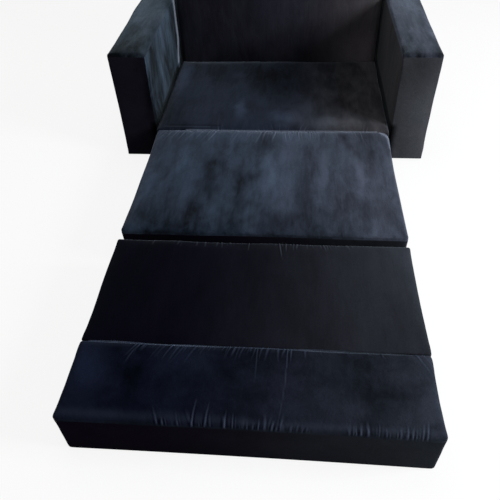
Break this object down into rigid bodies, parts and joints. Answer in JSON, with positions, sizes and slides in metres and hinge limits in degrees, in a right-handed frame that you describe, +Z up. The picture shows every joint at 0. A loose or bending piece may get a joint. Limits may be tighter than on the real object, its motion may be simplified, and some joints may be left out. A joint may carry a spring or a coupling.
{
  "type": "sofa bed",
  "caption": "Fold-out foam sofa bed: two box arms, an upright back and a mattress of hinged velvet-covered foam blocks that opens over the floor.",
  "frame": {"origin": "on the floor, under the middle of the opened bed", "axes": "+Z up, +Y from the mattress's foot end to the back, X across the arms with -X on the left seen from the foot end"},
  "size_m": [1.194, 1.9882, 0.762],
  "materials": {
    "velvet": "dark navy velvet",
    "foam": "polyurethane foam",
    "base_cloth": "black non-woven lining",
    "zip": "black moulded zip",
    "tape": "woven tape",
    "webbing": "elastic webbing",
    "glide": "moulded plastic",
    "steel": "zinc plated",
    "plywood": "raw plywood",
    "timber": "planed softwood"
  },
  "bodies": {
    "sofa_frame": {"arm_left_bottom_rail": "timber", "arm_left_cover": "velvet", "arm_left_foam_wrap": "foam", "arm_left_front_post": "timber", "arm_left_inner_panel": "plywood", "arm_left_outer_panel": "plywood", "arm_left_rear_post": "timber", "arm_left_top_rail": "timber", "arm_right_bottom_rail": "timber", "arm_right_cover": "velvet", "arm_right_foam_wrap": "foam", "arm_right_front_post": "timber", "arm_right_inner_panel": "plywood", "arm_right_outer_panel": "plywood", "arm_right_rear_post": "timber", "arm_right_top_rail": "timber", "back_bottom_rail": "timber", "back_cover": "velvet", "back_foam_pad": "foam", "back_left_post": "timber", "back_middle_rail": "timber", "back_rear_panel": "plywood", "back_right_post": "timber", "back_top_rail": "timber", "back_webbing": "webbing", "base_board": "plywood", "base_glides": "glide", "board_screws": "steel", "frame_bolts": "steel", "frame_t_nuts": "steel", "frame_washers": "steel", "seat_base_cloth": "base_cloth", "seat_cover": "velvet", "seat_foam": "foam", "seat_seam_allowance": "tape", "seat_zip": "zip"},
    "middle_section": {"middle_base_cloth": "base_cloth", "middle_cover": "velvet", "middle_foam": "foam", "middle_hinge_tape": "tape", "middle_zip": "zip"},
    "foot_section": {"foot_base_cloth": "base_cloth", "foot_cover": "velvet", "foot_foam": "foam", "foot_hinge_tape": "tape", "foot_seam_allowance": "tape", "foot_zip": "zip"},
    "end_section": {"end_base_cloth": "base_cloth", "end_cover": "velvet", "end_foam": "foam", "end_zip": "zip"}
  },
  "joints": [
    {"name": "middle_fold", "type": "hinge", "parent": "sofa_frame", "child": "middle_section", "pos_m": [0, 0.2318, 0.1543], "axis": [-1, 0, 0], "range_deg": [0, 180]},
    {"name": "foot_fold", "type": "hinge", "parent": "middle_section", "child": "foot_section", "pos_m": [0, -0.3705, -0.00015], "axis": [1, 0, 0], "range_deg": [0, 180]},
    {"name": "end_fold", "type": "hinge", "parent": "foot_section", "child": "end_section", "pos_m": [0, -0.7768, 0.1543], "axis": [-1, 0, 0], "range_deg": [0, 180]}
  ],
  "couplings": [
    {"joint": "foot_fold", "follows": "middle_fold", "ratio": 1}
  ]
}
